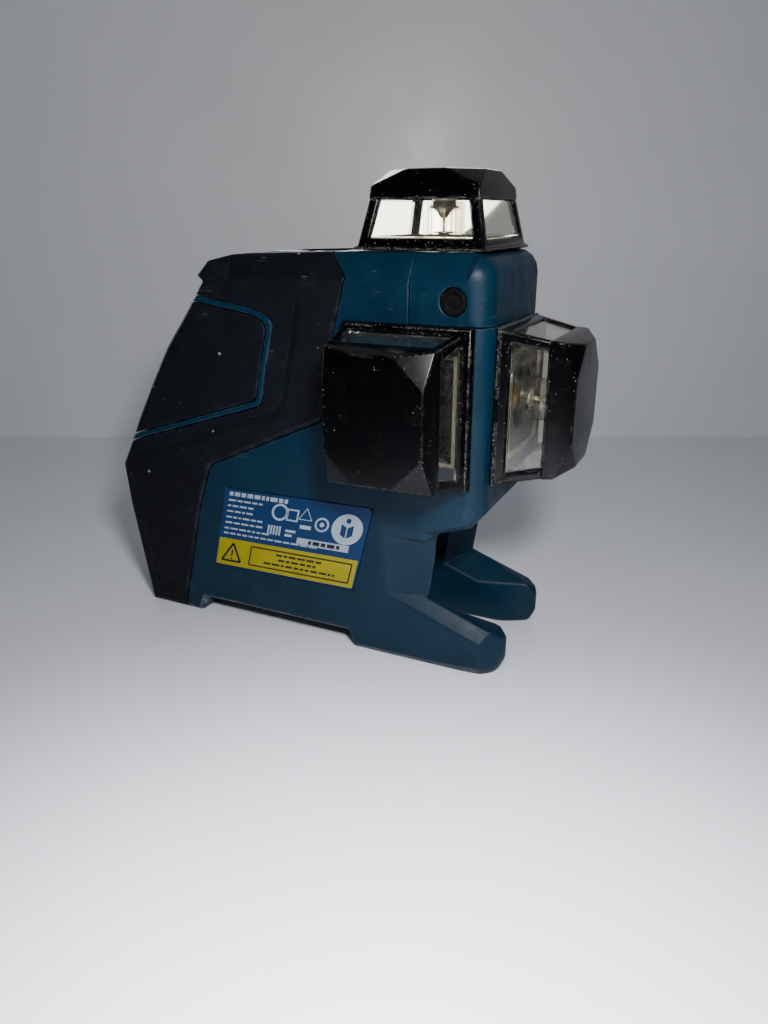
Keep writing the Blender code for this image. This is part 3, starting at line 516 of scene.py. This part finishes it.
for side, tag in ((-1, "right"), (1, "left")):
    bm = bmesh.new()
    loft(bm, [[at(x, side * (SIDE_Y + FIELD_ROOT), z) for (x, z), top in GRIP_FIELD],
              [at(x, side * (SIDE_Y + FIELD_FOOT), z) for (x, z), top in GRIP_FIELD],
              [at(x, side * (SIDE_Y + FIELD_RISE), z) for foot, (x, z) in GRIP_FIELD]])
    field = piece("grip_field_" + tag, bm, GRIP, "housing")
    bevel = field.modifiers.new("edges", "BEVEL")
    bevel.width = FIELD_ROUND * MM
    bevel.segments = 2
    bevel.limit_method = "ANGLE"
    bevel.angle_limit = math.radians(8.0)
    weigh_normals(field)


# printed plate: corners in side view, clockwise from the top left
LABEL_CORNERS = [Vector(c) for c in ((-86.4, 48.0), (-33.5, 49.0), (-40.6, 21.0), (-93.4, 20.0))]
LABEL_FACE = -24.6
LABEL_WIDE, LABEL_TALL = 52.9, 28.5                        # the plate's edges in mm
INK, BAND, OVER = 0.03, 0.045, 0.075                       # how far the layers of print stand on the plate
WORD_WIDTHS, WORD_GAP = (0.018, 0.055), 0.011              # shares of the plate's width


def on_label(u, v, rise=INK):
    """Point of the plate: u from left to right and v from top to bottom, as shares of its size."""
    a, b, c, d = LABEL_CORNERS
    spot = a.lerp(b, u).lerp(d.lerp(c, u), v)
    return at(spot.x, LABEL_FACE - rise, spot.y)


def label_solid(bm, outline, rise=INK):
    """A thin solid on the plate, with that outline."""
    loft(bm, [[on_label(u, v, 0.0) for u, v in outline], [on_label(u, v, rise) for u, v in outline]])


def bar(bm, u, v, width, height, rise=INK):
    label_solid(bm, [(u, v), (u + width, v), (u + width, v + height), (u, v + height)], rise)


def round_label(u, v, radius, sides, start=0.0):
    """Corners of a polygon round (u, v), with the radius in mm."""
    turns = [start + 2 * math.pi * k / sides for k in range(sides)]
    return [(u + radius * math.cos(t) / LABEL_WIDE, v + radius * math.sin(t) / LABEL_TALL) for t in turns]


def label_ring(bm, u, v, radius, width, sides=32, start=0.0):
    """A ring round (u, v); radius and width in mm. Three or four sides make a triangle or a box."""
    loft(bm, [[on_label(*corner, lift) for corner in round_label(u, v, r, sides, start)]
              for r, lift in ((radius, 0.0), (radius, INK), (radius - width, INK), (radius - width, 0.0))],
         closed=True)


def disc(bm, u, v, radius, rise=INK):
    label_solid(bm, round_label(u, v, radius, 40), rise)


def word_row(bm, rng, u, v, end, height, rise=INK):
    """A row of small blocks in word lengths, in place of print."""
    while u < end - 0.01:
        width = min(rng.uniform(*WORD_WIDTHS), end - u)
        bar(bm, u, v, width, height, rise)
        u += width + WORD_GAP


def frame_outline(bm, corners, width, rise):
    """A thin outline through the corners, as separate strokes; width as a share of the plate's height."""
    for (u0, v0), (u1, v1) in zip(corners, corners[1:] + corners[:1]):
        du, dv = u1 - u0, v1 - v0
        length = math.hypot(du * LABEL_WIDE, dv * LABEL_TALL)
        nu = -dv * LABEL_TALL / length * width * LABEL_TALL / LABEL_WIDE
        nv = du * LABEL_WIDE / length * width
        stroke = [(u0 - nu, v0 - nv), (u1 - nu, v1 - nv), (u1 + nu, v1 + nv), (u0 + nu, v0 + nv)]
        label_solid(bm, stroke, rise)


rng = random.Random(3)
white = bmesh.new()                                         # rows of print, plain symbols and an empty field
word_row(white, rng, 0.035, 0.035, 0.45, 0.050)
for v, end in ((0.130, 0.28), (0.200, 0.22), (0.270, 0.24), (0.345, 0.30), (0.415, 0.32), (0.490, 0.36),
               (0.555, 0.72)):
    word_row(white, rng, 0.035, v, end, 0.022)
label_ring(white, 0.410, 0.20, 3.0, 0.75)
label_ring(white, 0.500, 0.215, 3.0, 0.75, sides=4, start=math.pi / 4)
label_ring(white, 0.590, 0.200, 2.9, 0.45, sides=3, start=-math.pi / 2)
bar(white, 0.562, 0.315, 0.075, 0.045)
label_ring(white, 0.705, 0.275, 2.5, 0.65)
disc(white, 0.705, 0.275, 0.8)
disc(white, 0.872, 0.285, 5.3)
for k in range(5):
    bar(white, 0.345 + 0.020 * k, 0.375, 0.012, 0.115)
bar(white, 0.470, 0.400, 0.070, 0.030)
bar(white, 0.470, 0.455, 0.050, 0.030)
bar(white, 0.560, 0.475, 0.350, 0.085)
piece("label_white_print", white, WHITE_INK, "housing", smooth=False)

yellow = bmesh.new()
label_solid(yellow, [(0.012, 0.635), (0.988, 0.635), (0.988, 0.985), (0.012, 0.985)], BAND)
piece("label_yellow_band", yellow, YELLOW, "housing", smooth=False)

black = bmesh.new()                                         # a warning triangle and a framed block of print
frame_outline(black, [(0.120, 0.690), (0.190, 0.925), (0.050, 0.925)], 0.014, OVER)
frame_outline(black, [(0.255, 0.690), (0.955, 0.690), (0.955, 0.930), (0.255, 0.930)], 0.009, OVER)
for u, v, end in ((0.44, 0.730, 0.76), (0.46, 0.793, 0.74), (0.36, 0.857, 0.86)):
    word_row(black, rng, u, v, end, 0.026, OVER)
bar(black, 0.114, 0.775, 0.012, 0.085, OVER)
bar(black, 0.114, 0.880, 0.012, 0.022, OVER)
word_row(black, rng, 0.640, 0.495, 0.850, 0.045, OVER)
piece("label_black_print", black, BLACK_INK, "housing", smooth=False)

blue = bmesh.new()                                         # an open book on the white disc
label_solid(blue, [(0.832, 0.225), (0.868, 0.262), (0.868, 0.392), (0.832, 0.352)], OVER)
label_solid(blue, [(0.876, 0.262), (0.912, 0.225), (0.912, 0.352), (0.876, 0.392)], OVER)
disc(blue, 0.872, 0.180, 0.85, OVER)
piece("label_blue_print", blue, BLUE, "housing", smooth=False)


# optics inside the heads: barrel, rim, cone and foot of the mirror in each head, turned about the head's axis
TURNED_SIDES = 40
MIRROR_PROFILE = [                                         # (distance from the outer end, radius) in mm
    (0.0, 5.9), (0.9, 5.9), (1.1, 3.4), (3.6, 3.3), (3.8, 4.0), (4.4, 4.0), (4.6, 2.6), (7.2, 0.55),
    (10.4, 0.5), (10.5, 2.8), (10.9, 2.8), (11.0, 1.5), (13.6, 1.5),
]


def turned(profile, start, axis):
    """A solid of revolution; profile is (distance along the axis, radius) in mm from the start."""
    turn = Vector((0, 0, 1)).rotation_difference(axis)
    steps = [2 * math.pi * k / TURNED_SIDES for k in range(TURNED_SIDES)]
    bm = bmesh.new()
    loft(bm, [[start + turn @ Vector((r * math.cos(t), r * math.sin(t), d)) * MM for t in steps]
              for d, r in profile])
    return bm


for tag, inward in (("top", Vector((0, 0, -1))), ("front", Vector((-1, 0, 0))), ("side", Vector((0, 1, 0)))):
    low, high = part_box("cone_mirror_" + tag)
    length = (high - low).dot(Vector([abs(c) for c in inward]))
    outer = (low + high) / 2 - inward * length / 2
    solid = turned(MIRROR_PROFILE, outer, inward)
    mirror = piece("mirror_stem_" + tag, solid, MIRROR, "pendulum")
    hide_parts("cone_mirror_" + tag)


# plate and gasket at the foot of each head: (half size, height over the foot) in mm round the section
RING_POINTS = 32
PLATE_HALF, PLATE_HOLE = 15.0, 9.4
PLATE = ((PLATE_HALF, 1.9), (PLATE_HALF, 2.5), (PLATE_HOLE, 2.5), (PLATE_HOLE, 1.9))
GASKET_INNER = 14.1
FOAM = ((PLATE_HALF, 2.55), (PLATE_HALF, 3.5), (GASKET_INNER, 3.5), (GASKET_INNER, 2.55))


def ring_points(half):
    """Points of a square of that half size, or of the plate's round hole."""
    for k in range(RING_POINTS):
        turn = 2 * math.pi * k / RING_POINTS
        reach = half if half == PLATE_HOLE else half / max(abs(math.cos(turn)), abs(math.sin(turn)))
        yield reach * math.cos(turn), reach * math.sin(turn)


for tag, outward in (("top", Vector((0, 0, 1))), ("front", Vector((1, 0, 0))), ("side", Vector((0, -1, 0)))):
    low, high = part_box("head_frame_" + tag)
    foot = (low + high) / 2
    for k in range(3):
        if outward[k]:
            foot[k] = (low if outward[k] > 0 else high)[k]
    turn = Vector((0, 0, 1)).rotation_difference(outward)
    # the top head's floor takes the pale seat: painted light in that head
    for name, section, material, slot in (
            ("head_floor_", PLATE, PAINTED_LIGHT_SEAT if tag == "top" else BLACK, "head_black"),
            ("head_gasket_", FOAM, GASKET, "grey_plastic")):
        bm = bmesh.new()
        loft(bm, [[foot + turn @ Vector((a, b, lift)) * MM for a, b in ring_points(half)]
                  for half, lift in section], closed=True)
        piece(name + tag, bm, material, "housing", smooth=False)


# ---------------------------------------------------------------- floor, light and camera
def plane(name, corners, material):
    bm = bmesh.new()
    bm.faces.new([bm.verts.new(c) for c in corners])
    mesh = bpy.data.meshes.new(name)
    bm.to_mesh(mesh)
    bm.free()
    mesh.materials.append(material)
    obj = bpy.data.objects.new(name, mesh)
    bpy.context.scene.collection.objects.link(obj)
    return obj


def pale(name, colour, roughness):
    """Plain paint for the floor or the wall."""
    s = Shader(name, specular_ior_level=0.4)
    darker = tuple(c * 0.97 for c in colour)
    s.put("Base Color", s.blend(s.ramp(s.noise(60.0, 2.0), 0.3, 0.7), darker, colour))
    s.put("Roughness", s.ramp(s.noise(40.0, 3.0), 0.3, 0.7, roughness - 0.03, roughness + 0.05))
    return s


def one_sided(s):
    """Let a view from behind the sheet see through it. Its front and the light on it stay as they are."""
    back = s.tree.nodes.new("ShaderNodeNewGeometry").outputs["Backfacing"]
    s.show(s.mix(s.math("MULTIPLY", back, s.ray("Is Camera Ray")), s.surface.outputs[0], s.see_through()))


SENSOR, LENS = 36.0, 27.7                                  # mm
YAW, PITCH = math.radians(25.25), math.radians(20.61)
STAGE_HALF = 1.6                                           # half the width of the floor and the wall, in m
WALL_AWAY, WALL_TALL = 0.481, 1.2
FLOOR_NEAR, FLOOR_END = -1.2, WALL_AWAY + 0.001            # from behind the camera to just past the wall

camera_data = bpy.data.cameras.new("camera")
camera = bpy.data.objects.new("camera", camera_data)
bpy.context.scene.collection.objects.link(camera)
camera_data.sensor_width = SENSOR
camera_data.lens = LENS
camera_data.clip_start = 0.005
sight = Vector((-math.sin(YAW) * math.cos(PITCH), math.cos(YAW) * math.cos(PITCH), -math.sin(PITCH)))
camera.location = at(62.76, -220.99, 130.36)
camera.rotation_euler = sight.to_track_quat("-Z", "Y").to_euler()
bpy.context.scene.camera = camera

# directions over the floor, and the points under the camera and at the wall
ahead = Vector((-math.sin(YAW), math.cos(YAW), 0.0))
across = Vector((math.cos(YAW), math.sin(YAW), 0.0))
up = Vector((0.0, 0.0, 1.0))
eye = Vector((camera.location.x, camera.location.y, 0.0))
wall_foot = eye + ahead * WALL_AWAY
FLOOR = pale("floor_paint", (0.78, 0.80, 0.87), 0.35)
WALL = pale("wall_paint", (0.74, 0.76, 0.78), 0.36)
one_sided(WALL)
square = ((-1, 0), (1, 0), (1, 1), (-1, 1))
floor = plane("floor", [eye + across * a * STAGE_HALF + ahead * (FLOOR_END if b else FLOOR_NEAR)
                        for a, b in square], FLOOR.material)
wall = plane("backdrop", [wall_foot + across * a * STAGE_HALF + up * b * WALL_TALL
                          for a, b in square], WALL.material)


def area_light(name, place, target, size, power, spread=180.0, colour=(1.0, 1.0, 1.0), glossy=True):
    """A round lamp that no camera sees; size in metres, power in watts, spread in degrees."""
    data = bpy.data.lights.new(name, "AREA")
    data.shape = "DISK"
    data.size = size
    data.energy = power
    data.spread = math.radians(spread)
    data.color = colour
    lamp = bpy.data.objects.new(name, data)
    lamp.location = place
    lamp.visible_camera = False
    lamp.visible_glossy = glossy
    lamp.rotation_euler = (target - place).to_track_quat("-Z", "Y").to_euler()
    bpy.context.scene.collection.objects.link(lamp)
    return lamp


middle = at(-50, 0, 60)
area_light("key", camera.location + across * 0.035 + up * 0.068, middle, size=0.04, power=0.62, spread=150.0)

near = eye + ahead * 0.045                                 # a soft lamp for the near floor alone
foreground = area_light("foreground", near + up * 0.17, near, size=0.10, power=0.52, spread=95.0,
                        glossy=False)
lit_floor = bpy.data.collections.new("lit_floor")
lit_floor.objects.link(floor)
foreground.light_linking.receiver_collection = lit_floor

area_light("wall_wash", eye + ahead * 0.30 + up * 0.62, wall_foot + up * 0.2, size=0.4, power=0.09,
           spread=110.0, colour=(0.97, 0.98, 1.0), glossy=False)

lit_part = bpy.data.collections.new("lit_part")            # the fills for its far sides light nothing else
for obj in bpy.context.scene.objects:
    if obj.type == "MESH" and obj not in (floor, wall):
        lit_part.objects.link(obj)
for name, place in (("fill_behind", middle + ahead * 0.32 + up * 0.14),
                    ("fill_left", middle - across * 0.30 + ahead * 0.28 + up * 0.14)):
    fill = area_light(name, place, middle, size=0.22, power=0.60)
    fill.light_linking.receiver_collection = lit_part
    fill.light_linking.blocker_collection = lit_part

world = bpy.data.worlds.new("studio")
bpy.context.scene.world = world
world.use_nodes = True
sky = world.node_tree.nodes["Background"]
sky.inputs["Color"].default_value = (0.85, 0.88, 0.92, 1.0)
sky.inputs["Strength"].default_value = 0.10
world.cycles_visibility.glossy = False
